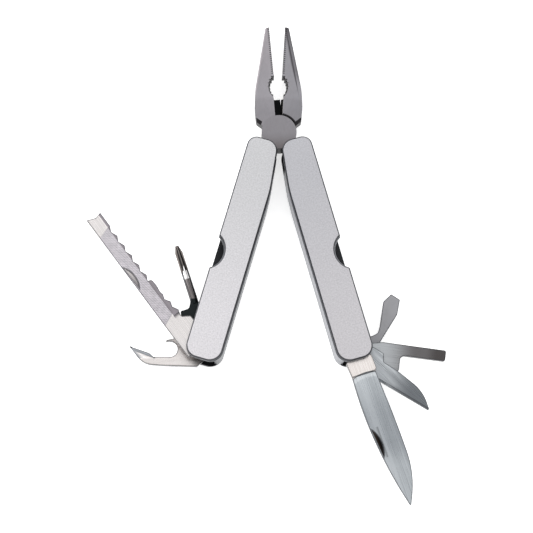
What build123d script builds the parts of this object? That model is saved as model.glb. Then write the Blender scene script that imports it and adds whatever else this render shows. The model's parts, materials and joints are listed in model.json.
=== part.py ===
from build123d import *
import math
import os

# A folding multi tool lying on its back scales, jaws pointing to +Y, thickness along +Z.
# Millimetres. The rest pose has the jaws a little open, the handles spread and every tool fanned out.
#
# Three local frames are used and then placed:
#   head    origin on the main pivot, the closed jaws along +Y
#   handle  origin on the tang pin, the tool end along -Y, the closed side of the channel at +X
#   tool    origin on the tool pin, the folded tool along +Y, the closed side of the channel at +X
# A handle is drawn as the left one, and the right one is its mirror image.

# ---- thickness, measured up from the table ----
SCALE_THICK = 2.0
SHEET = 0.9
TOTAL_THICK = 18.0
ZONE_LOW = SCALE_THICK + SHEET
ZONE_HIGH = TOTAL_THICK - SCALE_THICK - SHEET
JAW_LOW = 3.4
JAW_HIGH = 11.9
JAW_MID = (JAW_LOW + JAW_HIGH) / 2
LAP_GAP = 0.2
TOOL_THICK = 2.3
FIT = 0.05

# ---- pliers head ----
DISC_R = 8.0
DISC_CLEAR = 0.4
MAIN_PIN_R = 2.5
PIVOT_TOP = JAW_HIGH - 0.8
TANG_X = 7.36
TANG_Y = 9.5
KNUCKLE_R = 4.6
TIP_Y = 51.9
FRONT_DROP = 3.4
BACK_DROP = 2.4
NOSE_Y = 16.0
CREASE_WIDTH = 1.8
CREASE_SLOPE = 0.4
LEFT_JAW_TURN = 4.8
RIGHT_JAW_TURN = 3.1
CUTTER_LOW = 8.55
CUTTER_HIGH = 16.7
CUTTER_PASS = 2.0
GRIP_X = 4.35
GRIP_Y = 22.2
GRIP_R = 6.55
GRIP_HALF = 4.9
GRIP_NOTCH = 1.2
GRIP_TEETH = 7
TOOTH_PITCH = 1.05
TOOTH_DEPTH = 0.5

# ---- handles ----
OUTER_X = -7.0
INNER_X = 9.4
TOP_Y = 4.4
BOTTOM_Y = -101.0
WEB_X = 9.8
WEB_TOP_Y = -8.0
WEB_END_Y = -99.2
LEFT_SPREAD = 16.2
RIGHT_SPREAD = 15.95
SCOOP_R = 8.8
SCOOP_X = -11.3
SCOOP_Y = -52.6
TANG_PIN_R = 2.0
TOOL_PIN_R = 1.9
TOOL_PIN_X = 0.3
TOOL_PIN_Y = -95.0
STOP_PIN_R = 1.2
STOP_PIN_X = 5.6
STOP_PIN_Y = -2.0
SCALE_EDGE = 0.6
SCALE_RIVET_X = 1.0
SCALE_RIVET_YS = (-14.0, -84.0)
SCALE_RIVET_R = 0.9
SCALE_RIVET_SUNK = 1.1
SPRING_RIVET_SPOTS = ((6.6, -17.0), (6.9, -23.0))
SPRING_RIVET_R = 0.8
WASHER_R = 4.0
SLIP = 0.1
OVERCUT = 1.0

# ---- tools ----
HUB_R = 4.6
HUB_SHOULDER = (3.8, 2.6)
SPRING_X = 7.3
SPRING_HEAD_X = 4.7
LAYER_GAP = 0.6
TOP_LAYER = ZONE_HIGH - LAYER_GAP - TOOL_THICK
OPEN_SCALER = 52.9
OPEN_PHILLIPS = 34.1
OPEN_CAN_OPENER = 107.7
OPEN_MAIN_BLADE = 177.5
OPEN_SMALL_BLADE = 148.4
OPEN_BAR_DRIVER = 113.6
OPEN_LARGE_DRIVER = 52.6
PHILLIPS_R = 1.75

LEFT_LAYERS = (TOP_LAYER, 9.2, 5.1)
RIGHT_LAYERS = tuple(TOP_LAYER - i * (TOOL_THICK + LAYER_GAP) for i in range(4))


# ---- drawing helpers ----
def outline(*corners):
    """A face through corner points; a corner written (x, y, r) is rounded to radius r."""
    bends = []
    count = len(corners)
    for i, corner in enumerate(corners):
        here = Vector(corner[0], corner[1])
        back = (Vector(*corners[i - 1][:2]) - here).normalized()
        ahead = (Vector(*corners[(i + 1) % count][:2]) - here).normalized()
        radius = corner[2] if len(corner) > 2 else 0
        half = math.radians(back.get_angle(ahead) / 2)
        if not radius or half > math.radians(89.9):
            bends.append((here, None, here))
            continue
        reach = radius / math.tan(half)
        inward = (back + ahead).normalized()
        middle = here + inward * (radius / math.sin(half) - radius)
        bends.append((here + back * reach, middle, here + ahead * reach))
    edges = []
    for i, (start, middle, end) in enumerate(bends):
        if middle is not None:
            edges.append(ThreePointArc(start, middle, end))
        following = bends[(i + 1) % count][0]
        if (following - end).length > 1e-6:
            edges.append(Line(end, following))
    return make_face(Curve() + edges)


def slab(sketch, low, high):
    """The sketch made solid between two heights."""
    return extrude(Pos(0, 0, low) * sketch, high - low)


def rod(radius, low, high, x=0.0, y=0.0):
    """An upright cylinder between two heights."""
    return slab(Pos(x, y) * Circle(radius), low, high)


def ring(outer, inner, low, high, x=0.0, y=0.0):
    """An upright washer between two heights."""
    return rod(outer, low, high, x, y) - rod(inner, low, high, x, y)


def polar(radius, degrees):
    return (radius * math.cos(math.radians(degrees)), radius * math.sin(math.radians(degrees)))


def edge_bevel(start, end, low, high, width, drop):
    """Two wedges that bevel both faces of a plate whose body lies to the right of start to end."""
    along = Vector(*end) - Vector(*start)
    plane = Plane(origin=start, x_dir=(-along.Y, along.X, 0), z_dir=(along.X, along.Y, 0))
    slope = drop * (OVERCUT + width) / width
    wedges = []
    for face, side in ((high, -1), (low, 1)):
        profile = plane * make_face(Polyline(
            (-width, face), (OVERCUT, face + side * slope), (OVERCUT, face), close=True))
        wedges.append(extrude(profile, along.length))
    return wedges


# ---- pliers head ----
def jaw_outline():
    """One jaw, drawn as the left one: fine teeth, round grip, cutter gap and shoulder."""
    cutter_x = -1.1
    gap = -0.05
    corners = [(-1.95, TIP_Y, 0.8), (gap - 0.1, TIP_Y, 0.3)]
    tooth_y = TIP_Y - 0.8
    while tooth_y > GRIP_Y + GRIP_HALF + TOOTH_PITCH:
        corners.append((gap, tooth_y))
        corners.append((gap - TOOTH_DEPTH, tooth_y - TOOTH_PITCH / 2))
        tooth_y -= TOOTH_PITCH
    corners.append((gap, tooth_y + 0.1))
    sweep = math.degrees(math.asin(GRIP_HALF / GRIP_R))
    step = 2 * sweep / GRIP_TEETH
    for k in range(GRIP_TEETH):
        x, y = polar(GRIP_R, 180 - sweep + k * step)
        corners.append((GRIP_X + x, GRIP_Y + y))
        x, y = polar(GRIP_R + GRIP_NOTCH, 180 - sweep + (k + 0.5) * step)
        corners.append((GRIP_X + x, GRIP_Y + y))
    corners += [(cutter_x, GRIP_Y - GRIP_HALF - 0.3), (cutter_x, 6.0), (-5.0, 0.0), (-7.9, 4.2)]
    corners += [(-9.9, 5.9, 0.8), (-10.15, 12.5, 30.0), (-9.3, 21.0, 45.0)]
    return outline(*corners)


def tang_outline():
    """The tang below the disc, drawn as the one that runs down to the left, with its stop toe."""
    upper = polar(KNUCKLE_R, 142)
    lower = polar(KNUCKLE_R, -52)
    neck = outline((-6.5, -4.5), (upper[0] - TANG_X, upper[1] - TANG_Y), (-TANG_X, -TANG_Y),
                   (lower[0] - TANG_X, lower[1] - TANG_Y), (-2.0, -12.0, 0.4), (-0.8, -7.6), (-3, -4))
    return neck + Pos(-TANG_X, -TANG_Y) * Circle(KNUCKLE_R)


def stop_pin_room(turn):
    """Where the left handle's stop pin goes in the head frame as the handle folds away from its stop."""
    orbit = math.hypot(STOP_PIN_X, STOP_PIN_Y)
    pin_r = STOP_PIN_R + FIT
    rest = math.degrees(math.atan2(STOP_PIN_Y, STOP_PIN_X)) + turn
    fan = make_face(Polyline((0, 0), *[polar(3 * orbit, rest - 30 * k) for k in range(5)], close=True))
    path = (Circle(orbit + pin_r) - Circle(orbit - pin_r)) & fan
    return Pos(-TANG_X, -TANG_Y) * (path + Pos(*polar(orbit, rest)) * Circle(pin_r))


def nose_face(y, face, drop):
    """Height of a broad face of the nose at a distance from the pivot; it comes in by drop at the tip."""
    return face + drop * max(0, y - NOSE_Y) / (TIP_Y - NOSE_Y)


def nose_taper():
    """What is cut from the front and back of the jaws so that they thin towards the tips."""
    end = TIP_Y + OVERCUT
    wedges = []
    for face, drop in ((JAW_HIGH, -FRONT_DROP), (JAW_LOW, BACK_DROP)):
        profile = Plane.YZ * make_face(Polyline(
            (NOSE_Y, face), (end, nose_face(end, face, drop)), (end, face), close=True))
        wedges.append(extrude(profile, 30, both=True))
    return wedges


def nose_creases():
    """The long slanted facets along the outer edges of the nose, which run out towards the shoulder."""
    pieces = []
    for face, side, drop in ((JAW_HIGH, -1, -FRONT_DROP), (JAW_LOW, 1, BACK_DROP)):
        sections = []
        stations = ((-9.9, 18.0, 0.0), (-7.6, 28.0, CREASE_WIDTH), (-1.4, 53.0, 0.8 * CREASE_WIDTH))
        for x, y, width in stations:
            top = nose_face(y, face, drop)
            far = width + OVERCUT
            plane = Plane(origin=(0, y, 0), x_dir=(1, 0, 0), z_dir=(0, -1, 0))
            sections.append(plane * make_face(Polyline(
                (x + width, top), (x - OVERCUT, top + side * CREASE_SLOPE * far),
                (x - OVERCUT, top - 3 * side), (x + width, top - 3 * side), close=True)))
        pieces.append(loft(sections, ruled=True))
    return pieces


def grip_bevel():
    """The funnel that opens the round grip at the front face."""
    depth = 1.7
    return Pos(GRIP_X, GRIP_Y, JAW_HIGH - depth / 2 + 0.01) * Cone(GRIP_R, GRIP_R + 1.15, depth)


def shoulder_facets():
    """The slanted ends of the shoulder, towards the disc."""
    return edge_bevel((-5.6, 2.25), (-10.6, 6.5), JAW_LOW, JAW_HIGH, 1.3, 1.8)


def cutter_wedge():
    """The cutting wedge along the gap of the jaw, drawn as the left one."""
    root = 1.5
    profile = Plane.XZ * make_face(Polyline(
        (-1.6, JAW_MID), (-0.06, JAW_MID), (-1.6, JAW_MID + root), close=True))
    return Pos(0, CUTTER_LOW, 0) * extrude(profile, CUTTER_LOW - CUTTER_HIGH)


def cutter_block(left, right, low, high):
    """An upright block along the cutter between two distances from the middle line."""
    middle = Pos((left + right) / 2, (CUTTER_LOW + CUTTER_HIGH) / 2)
    return slab(middle * Rectangle(right - left, CUTTER_HIGH - CUTTER_LOW), low, high)


def jaw_and_tang(lap_low, lap_high, handle_turn, pivot_r):
    """A jaw at the left with its lap disc between two heights and its tang down to the right."""
    shape = jaw_outline() + mirror(tang_outline(), Plane.YZ)
    body = slab(shape, JAW_LOW, JAW_HIGH)
    for piece in nose_taper() + nose_creases() + shoulder_facets():
        body -= piece
    body -= grip_bevel()
    low, high = JAW_LOW - OVERCUT, JAW_HIGH + OVERCUT
    body -= rod(DISC_R + DISC_CLEAR, low, high)
    body += slab(Circle(DISC_R) + (Circle(DISC_R + OVERCUT) & shape), lap_low, lap_high)
    body -= mirror(slab(stop_pin_room(handle_turn), low, high), Plane.YZ)
    return body - rod(TANG_PIN_R + FIT, low, high, TANG_X, -TANG_Y) - rod(pivot_r, low, PIVOT_TOP)


def left_jaw():
    """The jaw whose lap lies in front, with the main rivet pressed in and the cutter's passing plate."""
    body = jaw_and_tang(JAW_MID + LAP_GAP / 2, JAW_HIGH, LEFT_JAW_TURN - RIGHT_SPREAD, MAIN_PIN_R)
    return body + cutter_block(-2.0, CUTTER_PASS, JAW_LOW + SLIP, JAW_MID - LAP_GAP)


def right_jaw():
    """The jaw whose lap lies behind and turns on the main rivet, with the cutter's wedge."""
    turn = RIGHT_JAW_TURN - LEFT_SPREAD
    body = jaw_and_tang(JAW_LOW, JAW_MID - LAP_GAP / 2, turn, MAIN_PIN_R + FIT) + cutter_wedge()
    relief = Pos(0, SLIP, 0) * cutter_block(-CUTTER_PASS - 0.4, OVERCUT, JAW_LOW - OVERCUT, JAW_MID)
    return mirror(body - relief - Pos(0, -2 * SLIP, 0) * relief, Plane.YZ)


# ---- handle pieces, drawn as the left handle ----
def handle_outline(inner_x):
    """A handle seen from the front, with a rounded tool end and a domed tang end."""
    return outline((OUTER_X, TOP_Y, 4.4), (6.6, TOP_Y, 5.5), (INNER_X, -18.0, 50.0),
                   (inner_x, -26.0, 50.0), (inner_x, BOTTOM_Y, 6.0), (OUTER_X, BOTTOM_Y, 5.6))


def thumb_scoop(radius):
    """The round bite in the open edge that bares the nail nicks."""
    return Pos(SCOOP_X, SCOOP_Y) * Circle(radius)


def scale(low, high, with_scoop):
    """An aluminium cover; only the front one has the thumb scoop."""
    shape = handle_outline(INNER_X)
    if with_scoop:
        shape -= thumb_scoop(SCOOP_R)
    cover = slab(shape, low, high)
    outside = cover.faces().sort_by(Axis.Z)[-1 if with_scoop else 0]
    cover = chamfer(outside.edges(), SCALE_EDGE)
    sunk = SCALE_RIVET_SUNK + SLIP
    hole_low, hole_high = (low - SLIP, low + sunk) if with_scoop else (high - sunk, high + SLIP)
    for y in SCALE_RIVET_YS:
        cover -= rod(SCALE_RIVET_R, hole_low, hole_high, SCALE_RIVET_X, y)
    return cover


def channel():
    """The folded sheet channel: two flanges and the web along the closed side."""
    low = SCALE_THICK
    high = TOTAL_THICK - SCALE_THICK
    flange = handle_outline(WEB_X)
    body = slab(flange, low, low + SHEET)
    body += slab(flange - thumb_scoop(SCOOP_R - 0.4), high - SHEET, high)
    rim = flange - offset(flange, -SHEET)
    closed_side = Pos(WEB_X, (WEB_TOP_Y + WEB_END_Y) / 2) * Rectangle(6.0, WEB_TOP_Y - WEB_END_Y)
    body += slab(rim & closed_side, low, high)
    for spot_x, spot_y, radius in (
            (0, 0, TANG_PIN_R), (TOOL_PIN_X, TOOL_PIN_Y, TOOL_PIN_R), (STOP_PIN_X, STOP_PIN_Y, STOP_PIN_R)):
        body -= rod(radius, low - OVERCUT, high + OVERCUT, spot_x, spot_y)
    for spot_x, spot_y in SPRING_RIVET_SPOTS:
        body -= rod(SPRING_RIVET_R, low - OVERCUT, high + OVERCUT, spot_x, spot_y)
    for spot_y in SCALE_RIVET_YS:
        body -= rod(SCALE_RIVET_R, low - OVERCUT, high + OVERCUT, SCALE_RIVET_X, spot_y)
    return body


def spring_outline():
    """A leaf spring along the web, riveted at one end and pressing on a tool's hub at the other."""
    back = WEB_X - SHEET
    return outline((5.7, -13.0, 0.8), (back - 1.3, -13.0), (back - 0.5, -18.5), (back, -29.0),
                   (back, TOOL_PIN_Y - 2.6, 3.3), (TOOL_PIN_X + SPRING_HEAD_X, TOOL_PIN_Y - 2.6),
                   (TOOL_PIN_X + SPRING_HEAD_X, TOOL_PIN_Y + 2.6), (SPRING_X, TOOL_PIN_Y + 6.0, 2.0),
                   (SPRING_X, -28.0, 3.0), (5.7, -26.0, 0.8))


def spring(low, high):
    body = slab(spring_outline(), low, high)
    for x, y in SPRING_RIVET_SPOTS:
        body -= rod(SPRING_RIVET_R, low - OVERCUT, high + OVERCUT, x, y)
    return body


def gaps(layers):
    """The height ranges between a handle's tools, and between them and the flanges."""
    edges = [ZONE_HIGH]
    for low in layers:
        edges += [low + TOOL_THICK, low]
    edges.append(ZONE_LOW)
    return [(edges[i + 1], edges[i]) for i in range(0, len(edges), 2)]


def spring_spacers(layers):
    """Thin strips between the leaf springs."""
    back = WEB_X - SHEET
    strip = outline((5.9, -13.4, 0.6), (back - 1.3, -13.4), (back - 0.6, -18.5), (back - 0.1, -29.0),
                    (back - 0.1, -90.0), (SPRING_X + 0.2, -90.0), (SPRING_X + 0.2, -28.0), (5.9, -26.0))
    pieces = []
    for low, high in gaps(layers):
        piece = slab(strip, low + 0.02, high - 0.02)
        for x, y in SPRING_RIVET_SPOTS:
            piece -= rod(SPRING_RIVET_R, low, high, x, y)
        pieces.append(piece)
    return pieces


def tool_washers(layers):
    """Washers on the tool pin between the tools."""
    return [ring(WASHER_R, TOOL_PIN_R, low + FIT, high - FIT, TOOL_PIN_X, TOOL_PIN_Y)
            for low, high in gaps(layers)]


def spring_rivets():
    low = SCALE_THICK
    return [rod(SPRING_RIVET_R, low, TOTAL_THICK - low, x, y) for x, y in SPRING_RIVET_SPOTS]


def scale_rivets():
    """Short rivets from the flanges into blind holes in the scales."""
    pieces = []
    for y in SCALE_RIVET_YS:
        sunk = SCALE_THICK - SCALE_RIVET_SUNK
        pieces.append(rod(SCALE_RIVET_R, sunk, ZONE_LOW, SCALE_RIVET_X, y))
        pieces.append(rod(SCALE_RIVET_R, ZONE_HIGH, TOTAL_THICK - sunk, SCALE_RIVET_X, y))
    return pieces


def handle_pieces(layers):
    """Every piece that turns with a handle, except its tools."""
    low = SCALE_THICK
    high = TOTAL_THICK - SCALE_THICK
    pieces = {
        "channel": channel(),
        "front_scale": scale(high, TOTAL_THICK, True),
        "back_scale": scale(0, low, False),
        "scale_rivets": scale_rivets(),
        "tang_pin": rod(TANG_PIN_R, low, high),
        "tang_spacer": ring(WASHER_R, TANG_PIN_R, JAW_HIGH + SLIP, ZONE_HIGH),
        "tang_washer": ring(WASHER_R, TANG_PIN_R, ZONE_LOW, JAW_LOW - SLIP),
        "stop_pin": rod(STOP_PIN_R, low, high, STOP_PIN_X, STOP_PIN_Y),
        "tool_pin": rod(TOOL_PIN_R, low, high, TOOL_PIN_X, TOOL_PIN_Y),
        "tool_washers": tool_washers(layers),
        "spring_rivets": spring_rivets(),
        "spring_spacers": spring_spacers(layers),
    }
    for i, layer in enumerate(layers):
        pieces[f"spring_{i + 1}"] = spring(layer, layer + TOOL_THICK)
    return pieces


# ---- tools, drawn folded, for the left handle's side ----
def on_hub(shape, low):
    """A flat tool: its outline joined to the round hub, with the hole for the tool pin."""
    high = low + TOOL_THICK
    return slab(shape + Circle(HUB_R), low, high) - rod(TOOL_PIN_R + FIT, low - OVERCUT, high + OVERCUT)


def grind(low, back_x, edge_x, start_y, end_y, edge_thick):
    """Two wedges that thin a blade from its back at back_x to its edge at edge_x."""
    high = low + TOOL_THICK
    drop = (TOOL_THICK - edge_thick) / 2
    reach = edge_x + OVERCUT
    slope = drop * (reach - back_x) / (edge_x - back_x)
    wedges = []
    for face, side in ((high, -1), (low, 1)):
        profile = Plane.XZ * make_face(Polyline(
            (back_x, face), (reach, face + side * slope), (reach, face), close=True))
        wedges.append(Pos(0, start_y, 0) * extrude(profile, start_y - end_y))
    return wedges


def nail_nick(x, y, lean, length, depth, top):
    """A crescent cut into a tool's front face beside its back."""
    sagitta = 1.9
    radius = (length * length / 4 + sagitta * sagitta) / (2 * sagitta)
    half_plane = Pos(radius, 0) * Rectangle(2 * radius, 2 * length)
    moon = (Pos(sagitta - radius, 0) * Circle(radius)) & half_plane
    return Pos(x, y, top - depth) * Rot(0, 0, lean) * extrude(moon, depth + 1)


def fish_scaler(low):
    """Long scaler with a forked tip, six scaling teeth and three finer ones."""
    corners = [(-6.5, -0.4, 0.5), (-8.0, 0.2, 0.5), (-8.1, 17.0), (-8.0, 77.7), (-4.1, 76.2), (-0.9, 77.1)]
    for k in range(6):
        peak = 69.4 - 5.6 * k
        corners += [(-0.9, peak, 0.4), (-2.2, peak - 2.6)]
    corners += [(-0.3, 38.2, 1.2), (-0.2, 34.8, 2.0), (-0.6, 31.2)]
    for x, y in ((-0.2, 30.0), (0.6, 25.2), (1.3, 20.3)):
        corners += [(x, y, 0.4), (x - 0.8, y - 2.4)]
    corners += [(0.7, 16.6), (3.8, 14.6, 0.8), (4.1, 10.0), HUB_SHOULDER, (0, -1), (-3.6, -2.8)]
    body = on_hub(outline(*corners), low)
    for wedge in grind(low, -2.4, 0.6, 19.0, 80.0, 0.9):
        body -= wedge
    return body - nail_nick(-7.4, 44.0, 1.0, 12.4, 0.7, low + TOOL_THICK)


def phillips_driver(low):
    """Cross-point driver: flat base with a nail lug, round shank and fluted point."""
    axis_x = 2.7
    axis_z = low + TOOL_THICK / 2
    base = outline((-4.9, 17.3, 0.3), (-4.5, 18.9, 0.4), (-0.6, 18.9, 1.8), (1.3, 22.5), (4.1, 22.5),
                   (4.6, 7.0), HUB_SHOULDER, (0, 0), (-3.8, 2.6), (-4.6, 7.0))
    body = on_hub(base, low)
    shank_low = 20.5
    flute_low = 36.0
    cone_low = 44.9
    tip_y = 48.3
    tip_r = 0.75
    shank = cone_low - shank_low
    point = tip_y - cone_low
    flute_size = 1.5
    place = Pos(axis_x, 0, axis_z)
    body += place * Pos(0, shank_low + shank / 2, 0) * Rot(-90, 0, 0) * Cylinder(PHILLIPS_R, shank)
    body += place * Pos(0, cone_low + point / 2, 0) * Rot(-90, 0, 0) * Cone(PHILLIPS_R, tip_r, point)
    for turn in range(4):
        flute = Pos(PHILLIPS_R - 0.2, 0, 0) * Rot(0, 0, 45) * Rectangle(flute_size, flute_size)
        groove = extrude(Plane.XZ * flute, flute_low - tip_y - OVERCUT)
        body -= place * Pos(0, flute_low, 0) * Rot(0, 45 + 90 * turn, 0) * groove
    return body


def can_opener(low):
    """Can opener with a round bottle opener throat and a small hook."""
    throat = Pos(0.5, 15.0) * Circle(3.6)
    shape = outline((-7.7, 3.0, 0.4), (-6.9, 18.0, 20.0), (-6.0, 27.0, 9.0), (2.5, 33.2, 0.2),
                    (-1.0, 24.2, 1.0), (-2.9, 22.2, 1.0), (-3.1, 15.5), (0.5, 15.0), (3.0, 16.4, 0.3), (4.6, 16.6, 0.7),
                    (5.2, 13.6, 2.0), (5.0, 8.0), HUB_SHOULDER, (0, 0), (-3.8, -2.0), (-6.3, 1.4))
    body = on_hub(shape - throat, low)
    for wedge in grind(low, -3.6, 1.0, 22.2, 34.0, 0.6):
        body -= wedge
    return body


def main_blade(low):
    """Drop-shaped knife blade with a ricasso, a kick and a crescent nail nick."""
    shape = outline((-3.8, 2.6), (-6.6, 6.0, 1.0), (-6.1, 13.0, 20.0), (-6.9, 31.0, 170.0),
                    (-4.1, 58.0, 180.0), (-0.1, 74.6, 0.4), (6.4, 61.0, 45.0), (6.2, 36.0, 400.0), (5.0, 14.0), (4.9, 12.9),
                    (5.7, 11.6, 0.4), (5.5, 6.0, 1.0), HUB_SHOULDER, (0, 0))
    body = on_hub(shape, low)
    for wedge in grind(low, -6.8, 6.4, 12.6, 76.0, 0.3):
        body -= wedge
    return body - nail_nick(-4.9, 43.8, -5.5, 13.4, 0.8, low + TOOL_THICK)


def small_blade(low):
    """Short pen blade."""
    shape = outline((-3.8, 2.6), (-5.8, 8.0, 1.0), (1.3, 43.2, 0.4), (5.9, 35.0, 18.0), (5.0, 20.0, 40.0),
                    (3.9, 13.6, 0.6), (6.8, 10.9, 0.5), (5.9, 5.8, 0.8), HUB_SHOULDER, (0, 0))
    body = on_hub(shape, low)
    for wedge in edge_bevel((-5.6, 9.0), (1.5, 44.2), low, low + TOOL_THICK, 0.6, 0.35):
        body -= wedge
    return body


def flat_bar_driver(low):
    """L-shaped bar with a narrow flat driver tip."""
    shape = outline((-3.8, 2.6), (-7.0, 9.0, 1.0), (-7.4, 20.6, 0.8), (0.0, 20.6, 2.0), (0.0, 40.7, 0.9),
                    (4.9, 40.7, 0.9), (4.9, 12.0, 1.0), (3.9, 7.5, 1.0), HUB_SHOULDER, (0, 0))
    return on_hub(shape, low)


def large_driver(low):
    """Wide flat driver with a narrow neck and a bevelled end."""
    shape = outline((-3.8, 2.6), (-7.1, 9.0, 2.0), (-5.8, 24.8, 1.0), (-2.8, 31.2, 0.4), (1.9, 30.9, 0.4),
                    (2.7, 25.9, 0.6), (-2.6, 15.9, 8.0), (-3.8, 12.6, 2.0), (-2.2, 9.4, 1.4), (3.6, 9.0, 1.0),
                    (4.0, 5.0), HUB_SHOULDER, (0, 0))
    body = on_hub(shape, low)
    tip = (TOOL_THICK - 1.0) / 2
    for face, side in ((low + TOOL_THICK, -1), (low, 1)):
        wedge = Polyline((20.0, face), (32.0, face + side * tip), (32.0, face), close=True)
        profile = Plane.YZ * make_face(wedge)
        body -= extrude(profile, 20, both=True)
    return body


LEFT_TOOLS = {
    "fish_scaler": (fish_scaler, 0, OPEN_SCALER),
    "phillips_driver": (phillips_driver, 1, OPEN_PHILLIPS),
    "can_opener": (can_opener, 2, OPEN_CAN_OPENER),
}
RIGHT_TOOLS = {
    "main_blade": (main_blade, 0, OPEN_MAIN_BLADE),
    "small_blade": (small_blade, 1, OPEN_SMALL_BLADE),
    "flat_bar_driver": (flat_bar_driver, 2, OPEN_BAR_DRIVER),
    "large_driver": (large_driver, 3, OPEN_LARGE_DRIVER),
}


# ---- assembly about the main pivot ----
def head_place(turn):
    return Rot(0, 0, turn)


def left_handle_place():
    return head_place(-RIGHT_JAW_TURN) * Pos(-TANG_X, -TANG_Y) * Rot(0, 0, RIGHT_JAW_TURN - LEFT_SPREAD)


def right_handle_place():
    return head_place(LEFT_JAW_TURN) * Pos(TANG_X, -TANG_Y) * Rot(0, 0, RIGHT_SPREAD - LEFT_JAW_TURN)


def mirrored(piece):
    return [mirror(p, Plane.YZ) for p in piece] if isinstance(piece, list) else mirror(piece, Plane.YZ)


def placed(place, piece):
    return [place * p for p in piece] if isinstance(piece, list) else place * piece


def assemble():
    """Every node's solid or list of solids, at rest, with the main pivot on the origin."""
    nodes = {
        "left_jaw": head_place(LEFT_JAW_TURN) * left_jaw(),
        "right_jaw": head_place(-RIGHT_JAW_TURN) * right_jaw(),
        "main_pivot_rivet": rod(MAIN_PIN_R, JAW_LOW, PIVOT_TOP),
    }
    for name, piece in handle_pieces(LEFT_LAYERS).items():
        nodes["left_" + name] = placed(left_handle_place(), piece)
    for name, piece in handle_pieces(RIGHT_LAYERS).items():
        nodes["right_" + name] = placed(right_handle_place(), mirrored(piece))
    for name, (make, layer, opened) in LEFT_TOOLS.items():
        place = left_handle_place() * Pos(TOOL_PIN_X, TOOL_PIN_Y) * Rot(0, 0, opened)
        nodes[name] = place * make(LEFT_LAYERS[layer])
    for name, (make, layer, opened) in RIGHT_TOOLS.items():
        place = right_handle_place() * Pos(-TOOL_PIN_X, TOOL_PIN_Y) * Rot(0, 0, -opened)
        nodes[name] = place * mirrored(make(RIGHT_LAYERS[layer]))
    return nodes


def as_shape(piece):
    return Compound(children=piece) if isinstance(piece, list) else piece


def base_centre(shapes):
    """The middle of the whole object's box, on the table."""
    box = Compound(children=[Compound(s.wrapped) for s in shapes]).bounding_box()
    return Vector((box.min.X + box.max.X) / 2, (box.min.Y + box.max.Y) / 2, box.min.Z)


def main():
    os.makedirs("parts", exist_ok=True)
    shapes = {name: as_shape(piece) for name, piece in assemble().items()}
    shift = -base_centre(list(shapes.values()))
    for name, shape in shapes.items():
        export_step(Pos(shift) * shape, f"parts/{name}.step")
    spots = {
        "main_pivot": head_place(0),
        "left_tang": left_handle_place(),
        "right_tang": right_handle_place(),
        "left_tools": left_handle_place() * Pos(TOOL_PIN_X, TOOL_PIN_Y),
        "right_tools": right_handle_place() * Pos(-TOOL_PIN_X, TOOL_PIN_Y),
    }
    for name, spot in spots.items():
        where = spot.position + shift
        print(f"{name}: {where.X:.4f} {where.Y:.4f}")


main()
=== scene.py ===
import bpy, bmesh, json, math
from mathutils import Matrix, Vector
from mathutils.geometry import intersect_point_line


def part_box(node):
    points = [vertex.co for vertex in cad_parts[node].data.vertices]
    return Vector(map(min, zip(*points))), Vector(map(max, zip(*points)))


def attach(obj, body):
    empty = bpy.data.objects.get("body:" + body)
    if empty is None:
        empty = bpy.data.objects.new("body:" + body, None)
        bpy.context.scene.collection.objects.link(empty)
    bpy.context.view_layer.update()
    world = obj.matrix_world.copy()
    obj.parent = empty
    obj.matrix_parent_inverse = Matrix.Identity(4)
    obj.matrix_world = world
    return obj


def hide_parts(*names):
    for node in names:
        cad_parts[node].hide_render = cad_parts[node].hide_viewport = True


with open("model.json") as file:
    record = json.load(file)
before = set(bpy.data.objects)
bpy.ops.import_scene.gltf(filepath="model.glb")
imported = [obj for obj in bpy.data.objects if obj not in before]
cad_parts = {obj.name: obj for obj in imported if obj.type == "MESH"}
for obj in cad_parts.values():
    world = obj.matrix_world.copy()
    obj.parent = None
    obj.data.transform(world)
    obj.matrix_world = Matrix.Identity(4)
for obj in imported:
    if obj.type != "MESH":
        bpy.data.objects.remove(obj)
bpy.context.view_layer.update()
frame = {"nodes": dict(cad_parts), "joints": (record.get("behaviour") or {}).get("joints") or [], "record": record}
JOINTS = {j["name"]: j for j in frame["joints"]}
BODY_OF = {n: b for b, ns in frame["record"]["behaviour"]["bodies"].items() for n in ns}
SLOT_OF = {s["node"]: s["material_slot"] for s in frame["record"]["subparts"]}
PIVOT = sum(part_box("main_pivot_rivet"), Vector()) / 2
MM = 1000.0

# ---- where each piece lies: its own frame has the folded tool or the jaw along +Y ----
HANDLE_TURN = {"left": -16.2, "right": 15.95}
JAW_TURN = {"left": 4.8, "right": -3.1}
TOOLS = {"left": ("fish_scaler", "phillips_driver", "can_opener"),
         "right": ("main_blade", "small_blade", "flat_bar_driver", "large_driver")}
ALL_TOOLS = TOOLS["left"] + TOOLS["right"]

# ---- places on the pieces, in millimetres in their own frames ----
DISC_R = 8.0                                        # lap disc of the pliers head
CUTTER_X = -1.2                                     # face of the wire cutter
CUTTER_FOOT, CUTTER_HEAD = 8.3, 17.05
CUTTER_LAP_Z = 8.0                                  # half height, where the two cutters pass
GRIP_FOOT = 17.1                                    # lower end of the round grip
TEETH_FOOT = 28.3                                   # lowest fine tooth of the nose
TOOTH_PITCH = 1.05
TOE_Y, TOE_X = 7.0, -5.3                            # facet of the shoulder
CREASE = ((-5.8, 28.0), (0.04, 53.0))               # line where the nose starts to fall away
FILE_HEAD = ((-8.1, 67.2), (-2.5, 69.2))            # ends of the file face on the scaler
FILE_FOOT = ((-7.7, 17.6), (-1.0, 20.6))
SCALER_TOP = 14.25                                  # height above which the scaler's face is flat
PHILLIPS_X = 2.9                                    # middle line of the driver's shank
OPENER_EDGE = ((-3.7, 21.8), (1.0, 33.4))           # ground edge at the opener's tip
RICASSO_Y, RICASSO_BOW = 12.15, 0.035               # start of the blade's grind, bowed across the blade
NICK_Y, NICK_HALF = 43.8, 7.05                      # nail nick of the main blade
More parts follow.
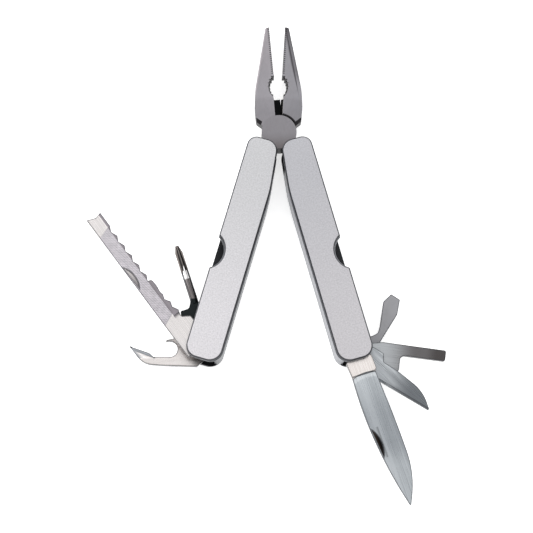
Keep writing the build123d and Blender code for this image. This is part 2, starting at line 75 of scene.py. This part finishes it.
BLADE_TOP = 14.2


def own_frame(node):
    """(turn of the piece's frame in degrees, its origin, -1 if it is mirrored across its own length)."""
    for side, sign in (("left", 1), ("right", -1)):
        if node in TOOLS[side]:
            joint = JOINTS[node + "_fold"]
            return HANDLE_TURN[side] - sign * joint["range_deg"][0], Vector(joint["pos_m"]), sign
        if node == side + "_jaw":
            return JAW_TURN[side], PIVOT, sign
        if node.startswith(side):
            return HANDLE_TURN[side], Vector(JOINTS[side + "_handle_fold"]["pos_m"]), sign
    return 0.0, PIVOT, 1


# ---- node helpers ----
def srgb(r, g, b):
    return tuple(((v / 255 + 0.055) / 1.055) ** 2.4 for v in (r, g, b))


def tint(rgb, k):
    return tuple(v * k for v in rgb)


class Net:
    """A material under construction: a Principled shader fed from the piece's own millimetre coordinates."""

    def __init__(self, name, metal=1.0):
        self.mat = bpy.data.materials.new(name)
        self.mat.use_nodes = True
        self.tree = self.mat.node_tree
        self.tree.nodes.clear()
        self.shader = self.tree.nodes.new("ShaderNodeBsdfPrincipled")
        out = self.tree.nodes.new("ShaderNodeOutputMaterial")
        self.tree.links.new(self.shader.outputs["BSDF"], out.inputs["Surface"])
        self.shader.inputs["Metallic"].default_value = metal
        self.own = self.node("Attribute", {}, attribute_name="own").outputs["Vector"]
        self.x, self.y, self.z = self.node("SeparateXYZ", {"Vector": self.own}).outputs
        self.rim = self.node("Attribute", {}, attribute_name="rim").outputs["Fac"]
        normal = self.node("NewGeometry", {}).outputs["Normal"]
        upright = self.node("SeparateXYZ", {"Vector": normal}).outputs[2]
        self.tilt = self.math("SUBTRACT", 1.0, self.size(upright))

    def put(self, socket, value):
        if isinstance(value, bpy.types.NodeSocket):
            self.tree.links.new(value, socket)
        else:
            socket.default_value = value

    def node(self, kind, ins, **props):
        made = self.tree.nodes.new("ShaderNode" + kind)
        for key, value in props.items():
            setattr(made, key, value)
        for key, value in ins.items():
            self.put(made.inputs[key], value)
        return made

    def math(self, op, a, b=0.0, c=0.0, clamp=False):
        return self.node("Math", {0: a, 1: b, 2: c}, operation=op, use_clamp=clamp).outputs[0]

    def size(self, value):
        return self.math("ABSOLUTE", value)

    def both(self, *masks):
        product = masks[0]
        for mask in masks[1:]:
            product = self.math("MULTIPLY", product, mask)
        return product

    def mix(self, fac, a, b, blend="MIX"):
        a = a if isinstance(a, bpy.types.NodeSocket) else (*a, 1.0)
        b = b if isinstance(b, bpy.types.NodeSocket) else (*b, 1.0)
        return self.node("Mix", {0: fac, 6: a, 7: b}, data_type="RGBA", blend_type=blend).outputs[2]

    def paint(self, base, mask, rgb, amount=1.0):
        """Covers base with an sRGB colour where mask is 1."""
        return self.mix(mask if amount == 1.0 else self.both(mask, amount), base, srgb(*rgb))

    def band(self, value, low, high, to_low=0.0, to_high=1.0):
        return self.node("MapRange", {"Value": value, 1: low, 2: high, 3: to_low, 4: to_high},
                         interpolation_type="SMOOTHSTEP").outputs[0]

    def above(self, value, edge, soft):
        return self.band(value, edge - soft, edge + soft)

    def below(self, value, edge, soft):
        return self.band(value, edge + soft, edge - soft)

    def near(self, value, middle, far, full, most=1.0):
        """most within full of the middle, falling to 0 at far from it."""
        return self.band(self.size(self.math("SUBTRACT", value, middle)), far, full, 0.0, most)

    def noise(self, scale, detail=3.0, rough=0.55, offset=(0, 0, 0)):
        """Noise on the piece's own coordinates; scale is in cells per millimetre along x, y and z."""
        spot = self.node("Mapping", {"Vector": self.own, "Location": offset, "Scale": scale}).outputs[0]
        return self.node("TexNoise", {"Vector": spot, "Scale": 1.0, "Detail": detail,
                                      "Roughness": rough}).outputs["Fac"]

    def line(self, p, q):
        """Signed distance in millimetres to the line p to q, positive on its left."""
        length = math.hypot(q[0] - p[0], q[1] - p[1])
        nx, ny = -(q[1] - p[1]) / length, (q[0] - p[0]) / length
        across = self.math("MULTIPLY", self.x, nx)
        along = self.math("MULTIPLY_ADD", self.y, ny, across)
        return self.math("SUBTRACT", along, nx * p[0] + ny * p[1])

    def bump(self, height, depth_mm, strength):
        ins = {"Height": height, "Distance": depth_mm / MM, "Strength": strength}
        return self.node("Bump", ins).outputs[0]

    def finish(self, colour, roughness, normal=None):
        self.put(self.shader.inputs["Base Color"], colour)
        self.put(self.shader.inputs["Roughness"], roughness)
        if normal is not None:
            self.put(self.shader.inputs["Normal"], normal)
        return self.mat


# ---- materials ----
HANDLE_LENGTH = 100.0      # covers are painted lighter over this length, a painted light gradient
EDGE_SHADE_AMOUNT = 0.85          # how strongly the strips of painted edge shade darken
# colours of the painted shade on the sloped sides and rim faces of steel
STEEL_SIDE_SHADE = (62, 63, 66)
JAW_SIDE_SHADE = (38, 37, 39)


def blasted_aluminium(name, top, bottom):
    """Bead-blasted, clear anodised aluminium: fine speckle, faint cloudiness, painted light growing towards the
    foot of the cover, and smoother rims darkened with painted shade.
    """
    n = Net(name, 0.92)
    # painted light: each cover grows lighter from its top to its foot
    base = n.mix(n.band(n.y, 0.0, -HANDLE_LENGTH), srgb(*top), srgb(*bottom))
    speck = n.noise((1.5, 1.5, 1.5), 4.0, 0.75)
    cloud = n.noise((0.12, 0.12, 0.12), 2.0, 0.5, (3, 1, 0))
    grain = n.mix(n.band(speck, 0.32, 0.68), (0.97, 0.97, 0.97), (1.31, 1.31, 1.31))
    base = n.mix(1.0, base, grain, "MULTIPLY")
    pits = n.band(n.noise((1.9, 1.9, 1.9), 2.0, 0.5, (7, 2, 5)), 0.6, 0.75, 0.0, 0.3)
    base = n.mix(pits, base, (0.3, 0.3, 0.31))
    base = n.mix(n.band(cloud, 0.3, 0.75, 0.0, 0.07), base, (0.5, 0.5, 0.51))
    # painted shade on the sloped rims
    base = n.paint(base, n.band(n.tilt, 0.02, 0.16, 0.0, 0.93), (72, 74, 78))
    rough = n.band(speck, 0.3, 0.7, 0.44, 0.56)
    rough = n.math("MULTIPLY_ADD", n.rim, -0.12, rough)
    return n.finish(base, rough, n.bump(speck, 0.03, 0.55))


def steel(name, rgb, rough, streak, pitch, length=0.06, zones=None, side=STEEL_SIDE_SHADE):
    """Ground steel: fine lines along the piece, broader streaks, smudges, and painted shade on the edge strips,
    the rounded edges and the sloped sides.
    zones(net, colour, roughness, lines) may change colour and roughness by place."""
    n = Net(name)
    fine = n.noise((pitch * 2.2, length, pitch * 2.2), 5.0, 0.7)
    broad = n.noise((pitch * 0.35, length * 0.5, pitch * 0.35), 3.0, 0.6, (4, 9, 1))
    smudge = n.noise((0.16, 0.16, 0.16), 3.0, 0.6, (1, 5, 2))
    base = n.mix(n.band(fine, 0.3, 0.7), tint(rgb, 1 - streak * 0.6), tint(rgb, 1 + streak * 0.45))
    base = n.mix(n.band(broad, 0.35, 0.65, 0.0, streak * 1.2), base, tint(rgb, 0.72))
    base = n.mix(n.band(smudge, 0.5, 0.8, 0.0, 0.1), base, tint(rgb, 0.6))
    roughness = n.math("ADD", n.band(fine, 0.3, 0.7, rough - 0.06, rough + 0.07),
                       n.band(smudge, 0.45, 0.8, 0.0, 0.06))
    if zones:
        base, roughness = zones(n, base, roughness, fine)
    # uneven strength of the painted shade
    uneven_shade = n.band(n.noise((0.9, 0.9, 0.9), 2.0), 0.35, 0.7, 0.92, 0.7)
    # painted shade on sloped sides and on rim faces (rounded edges and edge strips)
    edge = n.math("MAXIMUM", n.band(n.tilt, 0.1, 0.3), n.both(n.rim, EDGE_SHADE_AMOUNT))
    base = n.paint(base, n.both(edge, uneven_shade), side)
    return n.finish(base, roughness, n.bump(fine, 0.012, 0.8))


def jaw_ground(n, base, far):
    """What both jaws share: fine grain, and a browner foot and disc."""
    grain = n.noise((1.6, 1.6, 1.6), 4.0, 0.7, (2, 2, 2))
    base = n.mix(n.band(grain, 0.3, 0.7, 0.0, 0.12), base, (0.2, 0.19, 0.2))
    low = n.both(n.band(n.y, 0.5, -9.0), n.band(far, 15.0, DISC_R + 0.2))
    base = n.paint(base, low, (86, 80, 80), 0.85)
    return n.paint(base, n.band(far, DISC_R + 0.4, DISC_R - 0.1, 0.0, 0.25), (104, 102, 104))


def jaw_recesses(n, base, gap, gap_rgb):
    """Paints the cutter gap in gap_rgb, and painted shade in the tooth gaps, on the shoulder facet and in the bite
    of the round grip.
    """
    # cutter gap in gap_rgb: painted shade on the left jaw, a painted lit face on the right jaw
    base = n.paint(base, gap, gap_rgb)
    # painted shade in the gaps between the teeth
    wave = n.math("SINE", n.math("MULTIPLY", n.y, 2 * math.pi / TOOTH_PITCH))
    notch = n.both(n.band(wave, -0.3, 0.4), n.band(n.x, -1.3, -0.8), n.above(n.y, TEETH_FOOT, 0.3))
    base = n.paint(base, notch, (26, 25, 27), 0.9)
    # painted shade on the shoulder facet
    toe = n.both(n.below(n.y, TOE_Y, 0.2), n.both(n.band(n.tilt, 0.05, 0.2), n.below(n.x, TOE_X, 0.3)))
    base = n.paint(base, toe, (46, 43, 44), 0.85)
    # painted shade in the bite of the round grip
    bite = n.both(n.above(n.y, GRIP_FOOT, 0.2), n.band(n.tilt, 0.1, 0.4), n.above(n.x, -4.3, 0.3))
    return n.paint(base, bite, (30, 30, 32))


def cutter_gap(n):
    along = n.both(n.above(n.y, CUTTER_FOOT, 0.1), n.below(n.y, CUTTER_HEAD, 0.15))
    return n.both(along, n.above(n.x, CUTTER_X, 0.05))


def from_pivot(n):
    return n.math("SQRT", n.math("ADD", n.both(n.x, n.x), n.both(n.y, n.y)))


def left_jaw_zones(n, base, rough, lines):
    """Satin flat face, warmer and lighter towards the nose, with a painted highlight on the facet beyond the
    crease and painted shade low in the cutter gap.
    """
    base = jaw_ground(n, base, from_pivot(n))
    crease = n.line(*CREASE)
    base = n.paint(base, n.band(n.y, 16.0, 50.0, 0.0, 0.3), (136, 128, 131))
    # painted highlight on the outer facet beyond the crease
    base = n.paint(base, n.band(crease, 0.9, 1.6, 0.0, 0.5), (176, 170, 174))
    # painted shade low in the cutter gap
    gap = n.both(cutter_gap(n), n.below(n.z, CUTTER_LAP_Z, 0.2))
    return jaw_recesses(n, base, gap, (14, 15, 16)), rough


def right_jaw_zones(n, base, rough, lines):
    """Satin flat face with painted shade along the crease of the nose and on the facet beyond it, darker towards
    the tip, a painted shadow line round the disc, and a cutter face painted light grey as if lit.
    """
    far = from_pivot(n)
    base = jaw_ground(n, base, far)
    crease = n.line(*CREASE)
    width = n.both(n.band(n.y, 20.0, 34.0, 0.2, 0.95), n.band(n.y, 52.0, 34.0, 0.45, 1.0))
    shade = n.math("SUBTRACT", 1.0, n.math("DIVIDE", n.size(crease), width), clamp=True)
    # painted shade along the crease
    base = n.paint(base, n.both(shade, n.band(n.y, 16.0, 24.0)), (34, 31, 34), 0.88)
    # painted shade on the facet beyond the crease, which faces away from the light
    beyond = n.both(n.band(crease, 0.0, 0.8), n.band(n.y, 20.0, 30.0, 0.0, 0.25))
    base = n.paint(base, beyond, (84, 80, 84))
    base = n.paint(base, n.band(n.y, 42.0, 52.0, 0.0, 0.35), (92, 88, 91))
    # painted shadow along the seam round the disc
    seam = n.both(n.band(far, DISC_R + 1.2, DISC_R + 0.9), n.above(n.y, 3.9, 0.3))
    base = n.paint(base, seam, (22, 21, 22), 0.92)
    # the cutter face is painted light grey, a painted lit face
    return jaw_recesses(n, base, cutter_gap(n), (150, 147, 144)), rough


def scaler_zones(n, base, rough, lines):
    """Polished tip and tang, and between them a file face with fine crossed cuts."""
    head = n.line(*FILE_HEAD)
    foot = n.line(*FILE_FOOT)
    top = n.band(n.z, SCALER_TOP - 0.05, SCALER_TOP + 0.1)
    inside = n.both(n.below(head, 0.0, 0.12), n.above(foot, 0.0, 0.12), n.both(top, n.band(n.x, -1.6, -2.1)))
    cuts = n.math("SINE", n.math("MULTIPLY", n.line((0, 0), (1, 0.45)), 10.5))
    cross = n.math("SINE", n.math("MULTIPLY", n.line((0, 0), (1, -0.8)), 8.0))
    weave = n.math("MULTIPLY_ADD", cross, 0.5, cuts)
    grit = n.noise((0.9, 0.5, 1.0), 4.0, 0.7, (5, 1, 2))
    filed = n.mix(n.band(weave, -1.1, 1.1), srgb(124, 120, 126), srgb(200, 197, 201))
    filed = n.paint(filed, n.band(grit, 0.35, 0.7, 0.0, 0.4), (214, 208, 214))
    base = n.mix(inside, base, filed)
    seam = n.math("MAXIMUM", n.band(n.size(head), 0.22, 0.05), n.band(n.size(foot), 0.22, 0.05))
    base = n.paint(base, n.both(seam, top), (120, 116, 118), 0.35)
    scallops = n.both(n.band(n.x, -2.5, -2.1), n.band(n.y, 17.0, 19.0))
    base = n.paint(base, scallops, (104, 100, 104))
    # painted shade in the nail nick, stronger towards the pivot end
    nick = n.both(n.below(n.z, SCALER_TOP - 0.15, 0.1), n.below(n.x, -5.05, 0.25), n.above(n.z, 13.55, 0.05))
    base = n.paint(base, n.both(nick, n.band(n.y, 50.0, 38.0, 0.25, 0.9)), (110, 105, 108))
    return base, n.math("MULTIPLY_ADD", inside, 0.16, rough)


def phillips_zones(n, base, rough, lines):
    """Painted shade on the base, a grey ground shank, one bright ground patch that is a painted highlight, and a
    fluted point painted darker and browner as a painted reflection.
    """
    # painted shade on the base
    shaded_base = n.below(n.math("MULTIPLY_ADD", n.x, 0.25, n.y), 23.3, 0.3)
    base = n.paint(base, shaded_base, (34, 38, 39))
    # painted reflection: the fluted point darker and browner
    base = n.paint(base, n.above(n.y, 33.5, 0.3), (112, 106, 103))
    off_line = n.size(n.math("SUBTRACT", n.x, PHILLIPS_X))
    # painted highlight on one ground patch of the shank
    highlight_window = n.both(n.above(n.y, 32.15, 0.15), n.below(n.math("MULTIPLY_ADD", off_line, 2.6, n.y), 38.4, 0.2),
                    n.above(n.z, 11.2, 0.2))
    base = n.mix(highlight_window, base, (0.95, 0.94, 0.94))
    return base, n.math("MULTIPLY_ADD", shaded_base, 0.12, rough)


def opener_zones(n, base, rough, lines):
    """Polished, with a greyer bevel towards the tip and a browner hub."""
    ground = n.both(n.band(n.line(*OPENER_EDGE), 0.1, -0.25), n.above(n.y, 21.65, 0.25))
    sloped = n.both(n.band(n.tilt, 0.006, 0.016), n.above(n.y, 11.0, 1.0))
    base = n.paint(base, n.math("MAXIMUM", ground, sloped), (112, 116, 121), 0.92)
    return n.paint(base, n.band(n.y, 6.0, 3.0, 0.0, 0.5), (120, 118, 116)), rough


def blade_zones(n, base, rough, lines):
    """A polished ricasso in front of the ground bevel, with painted shade in a line where the grind starts and a
    painted highlight just past it, painted reflections along the blade and painted shade in the nail nick.
    """
    sheen = n.both(n.band(n.y, 12.0, 34.0), n.band(n.y, 57.0, 45.0))
    # painted reflection: darker across the middle of the blade's length
    base = n.paint(base, sheen, (118, 123, 129), 0.5)
    # painted highlight: a light streak along the blade
    base = n.paint(base, n.near(n.x, -3.0, 3.4, 0.6, 0.22), (206, 210, 214))
    base = n.paint(base, n.band(n.x, 4.2, 6.2, 0.0, 0.45), (118, 122, 127))
    past = n.math("SUBTRACT", n.y, n.math("MULTIPLY_ADD", n.both(n.x, n.x), RICASSO_BOW, RICASSO_Y))
    ricasso = n.below(past, 0.0, 0.1)
    base = n.mix(ricasso, base, n.mix(n.band(lines, 0.3, 0.7), srgb(222, 214, 210), srgb(238, 233, 230)))
    # painted shade in a line where the grind starts
    base = n.paint(base, n.near(past, 0.1, 0.3, 0.12, 0.75), (60, 62, 66))
    # painted highlight just past the grind line
    base = n.paint(base, n.near(past, 1.4, 1.5, 0.3, 0.35), (226, 229, 232))
    nick = n.both(n.band(n.z, BLADE_TOP + 0.1, BLADE_TOP - 0.15),
                  n.both(n.below(n.x, -2.4, 0.2), n.above(n.z, 13.45, 0.05)),
                  n.near(n.y, NICK_Y, NICK_HALF + 0.15, NICK_HALF - 0.15))
    # painted shade in the nail nick, browner at one end
    base = n.mix(nick, base, n.mix(n.band(n.x, -5.6, -3.6), srgb(60, 52, 46), srgb(16, 15, 15)))
    return base, n.math("MULTIPLY_ADD", ricasso, -0.08, rough)


def small_blade_zones(n, base, rough, lines):
    """A broken streak of painted highlight, and darker towards the tip."""
    glow = n.noise((0.5, 0.09, 0.5), 2.0, 0.5, (3, 4, 2))
    # painted highlight: a broken bright streak along the blade
    base = n.paint(base, n.band(glow, 0.45, 0.7, 0.0, 0.35), (222, 226, 229))
    return n.paint(base, n.band(n.y, 16.0, 32.0, 0.0, 0.9), (98, 102, 106)), rough


def bar_zones(n, base, rough, lines):
    """Light at the hub, browner and darker towards the tip."""
    base = n.paint(base, n.band(n.y, 12.0, 28.0), (99, 97, 98))
    return n.paint(base, n.band(n.y, 31.0, 37.0), (76, 73, 73)), rough


def channel_zones(n, base, rough, lines):
    """Light rolled outside, and painted shade on the inside."""
    # painted shade on the floor and the wall of the inside
    floor_inside = n.both(n.band(n.tilt, 0.5, 0.2), n.below(n.z, 15.2, 0.2))
    wall_inside = n.both(n.band(n.tilt, 0.5, 0.8), n.below(n.x, 8.65, 0.25))
    return n.paint(base, n.math("MAXIMUM", floor_inside, wall_inside), (44, 45, 47)), rough


left_alu = blasted_aluminium("anodised_aluminium_left", (171, 171, 173), (192, 190, 193))
right_alu = blasted_aluminium("anodised_aluminium_right", (158, 158, 162), (176, 174, 177))
# painted light: the left channel is a darker shaded copy and the right a lighter lit copy of the same steel
left_channel = steel("channel_steel_left_shaded", srgb(112, 113, 117), 0.34, 0.22, 1.6,
                     zones=channel_zones, side=(84, 86, 90))
right_channel = steel("channel_steel_right_lit", srgb(130, 131, 136), 0.34, 0.22, 1.6,
                      zones=channel_zones, side=(134, 136, 142))
LOOKS = {
    "left_jaw": steel("jaw_steel_left", srgb(127, 125, 129), 0.4, 0.13, 2.2, 0.5,
                      left_jaw_zones, JAW_SIDE_SHADE),
    "right_jaw": steel("jaw_steel_right", srgb(119, 118, 122), 0.4, 0.13, 2.2, 0.5,
                       right_jaw_zones, JAW_SIDE_SHADE),
    "main_pivot_rivet": steel("pivot_steel", srgb(148, 145, 149), 0.4, 0.1, 2.2, 0.5),
    "fish_scaler": steel("scaler_steel", srgb(219, 215, 214), 0.26, 0.08, 2.0, zones=scaler_zones),
    "phillips_driver": steel("phillips_steel", srgb(122, 117, 117), 0.3, 0.25, 2.0, zones=phillips_zones),
    "can_opener": steel("opener_steel", srgb(222, 217, 215), 0.26, 0.1, 2.0, zones=opener_zones),
    "main_blade": steel("blade_steel_main", srgb(172, 177, 181), 0.3, 0.26, 1.5, 0.035, blade_zones),
    "small_blade": steel("blade_steel_small", srgb(166, 170, 174), 0.3, 0.28, 1.5, 0.04, small_blade_zones),
    "flat_bar_driver": steel("bar_steel", srgb(172, 175, 178), 0.32, 0.2, 1.8, zones=bar_zones),
    "large_driver": steel("driver_steel", srgb(138, 138, 141), 0.42, 0.08, 2.0),
    "left_front_scale": left_alu,
    "left_back_scale": left_alu,
    "right_front_scale": right_alu,
    "right_back_scale": right_alu,
    "left_channel": left_channel,
    "right_channel": right_channel,
}
BY_SLOT = {
    "channel_steel": left_channel,
    "spring_steel": steel("spring_steel_ground", srgb(120, 121, 124), 0.36, 0.3, 2.0),
    "pin_steel": steel("pin_steel_turned", srgb(150, 150, 154), 0.3, 0.2, 1.5),
    "washer_brass": steel("washer_brass_plain", (0.50, 0.38, 0.18), 0.4, 0.25, 1.2),
}

# ---- detailed meshes, in millimetres in each piece's own frame ----
EDGE_SHADE_WIDTH = 0.36                # width of the strip of painted edge shade round a tool's flat faces
# height of the painted edge shade strips above the face
EDGE_SHADE_LIFT = 0.006
ROUNDING = {"front_scale": 0.3, "back_scale": 0.3, "channel": 0.12, "jaw": 0.1, "main_pivot_rivet": 0.06,
            "spring": 0.1, "pin": 0.1, "rivets": 0.08, "washer": 0.05, "spacer": 0.04}
ROUNDED_ANGLE = 24.0       # edges sharper than this many degrees are rounded
CREASED_ANGLE = 38.0       # edges sharper than this many degrees stay creases
WELD = 0.002
TINY = 1e-6


def outline_sides(bm):
    """Edges round the flat faces of a tool, as (start, end, face normal, way into the face)."""
    flat = {f for f in bm.faces if abs(f.normal.z) > 0.9 and f.calc_area() > 1.0}
    sides = []
    for face in bm.faces:
        if face not in flat:
            continue
        for loop in face.loops:
            if sum(f in flat for f in loop.edge.link_faces) == 1 and loop.edge.calc_length() > 1e-5:
                a, b = loop.vert, loop.link_loop_next.vert
                inward = face.normal.cross(b.co - a.co).normalized()
                sides.append((a, b, face.normal.copy(), inward))
    return sides


def edge_shade_corner(corner, ways, outline):
    """The shade strip's inner corner beside an outline corner, or the corner itself where the face is too narrow.
    """
    middle = sum(ways, Vector())
    if middle.length <= 0.2:
        return corner.copy()
    middle.normalize()
    spot = corner + middle * min(EDGE_SHADE_WIDTH / max(middle.dot(ways[0]), 0.05), 2 * EDGE_SHADE_WIDTH)
    for p, q in outline:
        near, t = intersect_point_line(spot, p, q)
        near = p if t < 0 else q if t > 1 else near
        if (near - spot).length < 0.45 * EDGE_SHADE_WIDTH:
            return corner.copy()
    return spot


def lay_edge_shade(bm, rim):
    """Lays a narrow strip of painted edge shade along the outline of a tool's flat faces."""
    sides = outline_sides(bm)
    ways_at = {}
    outline = {True: [], False: []}
    for a, b, normal, inward in sides:
        up = normal.z > 0
        outline[up].append((a.co.copy(), b.co.copy()))
        for v in (a, b):
            ways_at.setdefault((v, up), []).append(inward)
    inner = {(v, up): edge_shade_corner(v.co, ways, outline[up]) for (v, up), ways in ways_at.items()}
    for a, b, normal, _ in sides:
        start, end = inner[a, normal.z > 0], inner[b, normal.z > 0]
        at_start, at_end = (start - a.co).length, (end - b.co).length
        if at_start + at_end > 0.2 * EDGE_SHADE_WIDTH:
            corners = [a.co, b.co]
            if at_end >= TINY:
                corners.append(end)
            if at_start >= TINY:
                corners.append(start)
            # a strip of painted edge shade
            shade_strip = bm.faces.new([bm.verts.new(c + normal * EDGE_SHADE_LIFT) for c in corners])
            shade_strip[rim] = 1.0


def round_edges(bm, rim, width):
    sharp = [e for e in bm.edges
             if len(e.link_faces) == 2 and e.calc_face_angle(0.0) > math.radians(ROUNDED_ANGLE)]
    made = bmesh.ops.bevel(bm, geom=sharp, offset=width, offset_type="OFFSET", segments=2, profile=0.5,
                           affect="EDGES", clamp_overlap=True, loop_slide=True)
    for face in made["faces"]:
        face[rim] = 1.0


def detailed(node):
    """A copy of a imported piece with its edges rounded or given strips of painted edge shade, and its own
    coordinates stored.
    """
    turn, origin, sign = own_frame(node)
    inward = (Matrix.Diagonal((MM, MM, MM, 1)) @ Matrix.Rotation(math.radians(-turn), 4, "Z")
              @ Matrix.Translation(Vector((-origin.x, -origin.y, 0))))
    bm = bmesh.new()
    bm.from_mesh(frame["nodes"][node].data)
    bm.transform(inward)
    bmesh.ops.remove_doubles(bm, verts=bm.verts, dist=WELD)
    bmesh.ops.dissolve_limit(bm, angle_limit=math.radians(0.6), verts=bm.verts, edges=bm.edges)
    rim = bm.faces.layers.float.new("rim")
    if node not in ALL_TOOLS:
        round_edges(bm, rim, next(width for word, width in ROUNDING.items() if word in node))
    elif node != "phillips_driver":
        lay_edge_shade(bm, rim)
    for face in bm.faces:
        face.smooth = True
    mesh = bpy.data.meshes.new(node + "_detail")
    bm.to_mesh(mesh)
    bm.free()
    own = mesh.attributes.new("own", "FLOAT_VECTOR", "POINT")
    for i, v in enumerate(mesh.vertices):
        own.data[i].vector = (sign * v.co.x, v.co.y, v.co.z)
    mesh.transform(inward.inverted())
    mesh.set_sharp_from_angle(angle=math.radians(CREASED_ANGLE))
    mesh.materials.append(LOOKS.get(node) or BY_SLOT[SLOT_OF[node]])
    piece = bpy.data.objects.new(node + "_detail", mesh)
    bpy.context.scene.collection.objects.link(piece)
    weighted = piece.modifiers.new("even", "WEIGHTED_NORMAL")
    weighted.keep_sharp = True
    weighted.weight = 90
    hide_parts(node)
    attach(piece, BODY_OF[node])


for name in sorted(frame["nodes"]):
    detailed(name)

# ---- floor ----
FLOOR_HALF = 3.0
FLOOR_Z = -0.0002
net = Net("floor_white", 0.0)
tone = net.noise((0.02, 0.02, 0.02), 2.0, 0.5)
net.finish(net.mix(tone, (0.93, 0.93, 0.93), (0.95, 0.95, 0.95)), 0.9)
net.shader.inputs["Emission Color"].default_value = (1, 1, 1, 1)
net.shader.inputs["Emission Strength"].default_value = 0.62
floor_mesh = bpy.data.meshes.new("floor")
corners = [(sx * FLOOR_HALF, sy * FLOOR_HALF, FLOOR_Z) for sx, sy in ((-1, -1), (1, -1), (1, 1), (-1, 1))]
floor_mesh.from_pydata(corners, [], [(0, 1, 2, 3)])
floor_mesh.materials.append(net.mat)
floor = bpy.data.objects.new("floor", floor_mesh)
bpy.context.scene.collection.objects.link(floor)

# ---- light: a bright soft ceiling that darkens towards the horizon, and two soft lamps ----
SKY_LEAN = -0.08                                    # moves the bright part a little to the left
HORIZON = (0.12, (0.10, 0.10, 0.105, 1))            # ramp position and colour
CEILING = (0.78, (1.0, 1.0, 1.0, 1))
world = bpy.data.worlds.new("studio")
bpy.context.scene.world = world
world.use_nodes = True
tree = world.node_tree
tree.nodes.clear()
way = tree.nodes.new("ShaderNodeTexCoord")
parts = tree.nodes.new("ShaderNodeSeparateXYZ")
lean = tree.nodes.new("ShaderNodeMath")
lean.operation = "MULTIPLY_ADD"
lean.inputs[1].default_value = SKY_LEAN
ramp = tree.nodes.new("ShaderNodeValToRGB")
for stop, (position, colour) in zip(ramp.color_ramp.elements, (HORIZON, CEILING)):
    stop.position, stop.color = position, colour
sky = tree.nodes.new("ShaderNodeBackground")
sky.inputs["Strength"].default_value = 1.0
out = tree.nodes.new("ShaderNodeOutputWorld")
tree.links.new(way.outputs["Generated"], parts.inputs[0])
tree.links.new(parts.outputs["X"], lean.inputs[0])
tree.links.new(parts.outputs["Z"], lean.inputs[2])
tree.links.new(lean.outputs[0], ramp.inputs[0])
tree.links.new(ramp.outputs[0], sky.inputs["Color"])
tree.links.new(sky.outputs[0], out.inputs["Surface"])


def soft_light(name, place, size, power):
    """An area lamp that looks at the origin."""
    data = bpy.data.lights.new(name, "AREA")
    data.shape = "RECTANGLE"
    data.size, data.size_y = size
    data.energy = power
    lamp = bpy.data.objects.new(name, data)
    lamp.location = place
    lamp.rotation_euler = (-Vector(place)).to_track_quat("-Z", "Y").to_euler()
    bpy.context.scene.collection.objects.link(lamp)


soft_light("key", (-1.0, 0.5, 0.9), (0.8, 1.2), 9.0)
soft_light("fill", (0.3, 0.9, 1.2), (1.2, 0.8), 5.0)

# ---- camera ----
EYE = (-0.021271, -0.245606, 0.827876)              # from the floor point under the main pivot
AIM = (-0.005883, -0.064599, 0.018)
SENSOR = 36.0
FOCAL_IN_SENSORS = 1856.82 / 533
centre = Vector((PIVOT.x, PIVOT.y, 0))
eye = centre + Vector(EYE)
back_axis = (Vector(EYE) - Vector(AIM)).normalized()
up_axis = Vector((0, 1, 0))
up_axis = (up_axis - back_axis * up_axis.dot(back_axis)).normalized()
right_axis = up_axis.cross(back_axis)
turn = Matrix((right_axis, up_axis, back_axis)).transposed().to_4x4()
lens = bpy.data.cameras.new("camera")
lens.sensor_fit = "HORIZONTAL"
lens.sensor_width = SENSOR
lens.lens = SENSOR * FOCAL_IN_SENSORS
lens.clip_start, lens.clip_end = 0.05, 20.0
camera = bpy.data.objects.new("camera", lens)
camera.matrix_world = Matrix.Translation(eye) @ turn
bpy.context.scene.collection.objects.link(camera)
bpy.context.scene.camera = camera
bpy.context.scene.view_settings.view_transform = "Standard"
